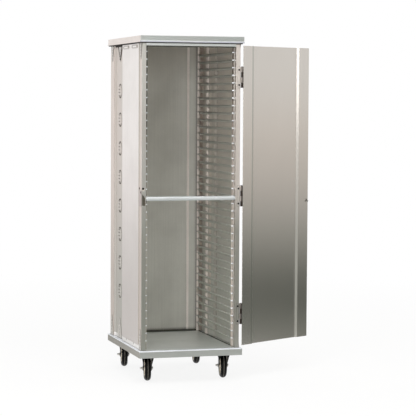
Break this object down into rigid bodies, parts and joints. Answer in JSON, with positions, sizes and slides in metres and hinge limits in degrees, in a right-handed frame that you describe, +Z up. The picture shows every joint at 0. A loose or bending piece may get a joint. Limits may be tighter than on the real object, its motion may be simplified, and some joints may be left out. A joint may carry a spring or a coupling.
{
  "type": "enclosed meal tray cart",
  "caption": "Tall enclosed sheet-metal tray cart with close-spaced ledges, one side-hinged door swung wide open, a mid cross bar and swivel casters.",
  "frame": {"origin": "floor level, mid-way across the bounding box of the cart as it stands with its door open", "axes": "+X to the right along the front, +Y from the front to the back, +Z up"},
  "size_m": [0.9812, 0.712, 1.7405],
  "materials": {
    "base_sheet": "satin",
    "deck_sheet": "brushed",
    "rail_sheet": "mill",
    "post_sheet": "brushed",
    "header_sheet": "satin",
    "bar_tube": "satin",
    "side_sheet": "brushed",
    "back_sheet": "brushed",
    "ledge_angle": "mill",
    "spacer_sheet": "mill",
    "buffer_rubber": "matte",
    "lid_sheet": "brushed",
    "tab_sheet": "satin",
    "strike_sheet": "satin",
    "cup_steel": "black",
    "hinge_steel": "satin",
    "pin_steel": "satin",
    "door_sheet": "brushed",
    "latch_steel": "satin",
    "lever_steel": "black",
    "pull_steel": "satin",
    "zinc_steel": "zinc",
    "fork_steel": "black",
    "axle_steel": "zinc",
    "wheel_plastic": "moulded",
    "tyre": "matte"
  },
  "bodies": {
    "cabinet": {"base_frame": "base_sheet", "floor_deck": "deck_sheet", "caster_rail_front": "rail_sheet", "caster_rail_rear": "rail_sheet", "front_post_left": "post_sheet", "front_post_right": "post_sheet", "rear_post_left": "post_sheet", "rear_post_right": "post_sheet", "header": "header_sheet", "cross_bar": "bar_tube", "side_skin_left": "side_sheet", "side_skin_right": "side_sheet", "back_panel": "back_sheet", "ledges_left": "ledge_angle", "ledges_right": "ledge_angle", "uprights_left": "spacer_sheet", "uprights_right": "spacer_sheet", "tray_stop_left": "spacer_sheet", "tray_stop_right": "spacer_sheet", "stop_buffers": "buffer_rubber", "lid": "lid_sheet", "tie_tabs_top": "tab_sheet", "tie_tabs_foot": "tab_sheet", "strike_plate": "strike_sheet", "strike_cup": "cup_steel", "door_buffer": "buffer_rubber", "hinge_leaves_frame": "hinge_steel", "hinge_pins": "pin_steel", "king_pins": "zinc_steel", "caster_plate_front_left": "zinc_steel", "caster_plate_front_right": "zinc_steel", "caster_plate_rear_left": "zinc_steel", "caster_plate_rear_right": "zinc_steel"},
    "door": {"door_panel": "door_sheet", "hinge_leaves_door": "hinge_steel", "latch_bracket": "latch_steel", "latch_pin": "pin_steel", "door_pull": "pull_steel"},
    "latch": {"latch_lever": "lever_steel"},
    "fork_front_left": {"caster_fork_front_left": "fork_steel", "caster_axle_front_left": "axle_steel"},
    "wheel_front_left": {"wheel_core_front_left": "wheel_plastic", "caster_tyre_front_left": "tyre"},
    "fork_front_right": {"caster_fork_front_right": "fork_steel", "caster_axle_front_right": "axle_steel"},
    "wheel_front_right": {"wheel_core_front_right": "wheel_plastic", "caster_tyre_front_right": "tyre"},
    "fork_rear_left": {"caster_fork_rear_left": "fork_steel", "caster_axle_rear_left": "axle_steel"},
    "wheel_rear_left": {"wheel_core_rear_left": "wheel_plastic", "caster_tyre_rear_left": "tyre"},
    "fork_rear_right": {"caster_fork_rear_right": "fork_steel", "caster_axle_rear_right": "axle_steel"},
    "wheel_rear_right": {"wheel_core_rear_right": "wheel_plastic", "caster_tyre_rear_right": "tyre"}
  },
  "joints": [
    {"name": "door_hinge", "type": "hinge", "parent": "cabinet", "child": "door", "pos_m": [0.04245, -0.3375, 0.94], "axis": [0, 0, 1], "range_deg": [-210.5, 45]},
    {"name": "latch_lift", "type": "hinge", "parent": "door", "child": "latch", "pos_m": [0.47514, -0.07392, 0.8995], "axis": [-0.8616, -0.5075, 0], "range_deg": [0, 25], "stiffness_Nm_per_rad": 0.02, "springref_deg": -20.05},
    {"name": "swivel_front_left", "type": "hinge", "parent": "cabinet", "child": "fork_front_left", "pos_m": [-0.42005, -0.25, 0.14], "axis": [0, 0, 1], "continuous": true},
    {"name": "roll_front_left", "type": "hinge", "parent": "fork_front_left", "child": "wheel_front_left", "pos_m": [-0.41449, -0.21849, 0.0635], "axis": [0.9848, -0.1736, 0], "continuous": true},
    {"name": "swivel_front_right", "type": "hinge", "parent": "cabinet", "child": "fork_front_right", "pos_m": [-0.02005, -0.25, 0.14], "axis": [0, 0, 1], "continuous": true},
    {"name": "roll_front_right", "type": "hinge", "parent": "fork_front_right", "child": "wheel_front_right", "pos_m": [-0.01449, -0.21849, 0.0635], "axis": [0.9848, -0.1736, 0], "continuous": true},
    {"name": "swivel_rear_left", "type": "hinge", "parent": "cabinet", "child": "fork_rear_left", "pos_m": [-0.42005, 0.25, 0.14], "axis": [0, 0, 1], "continuous": true},
    {"name": "roll_rear_left", "type": "hinge", "parent": "fork_rear_left", "child": "wheel_rear_left", "pos_m": [-0.41449, 0.28151, 0.0635], "axis": [0.9848, -0.1736, 0], "continuous": true},
    {"name": "swivel_rear_right", "type": "hinge", "parent": "cabinet", "child": "fork_rear_right", "pos_m": [-0.02005, 0.25, 0.14], "axis": [0, 0, 1], "continuous": true},
    {"name": "roll_rear_right", "type": "hinge", "parent": "fork_rear_right", "child": "wheel_rear_right", "pos_m": [-0.01449, 0.28151, 0.0635], "axis": [0.9848, -0.1736, 0], "continuous": true}
  ]
}
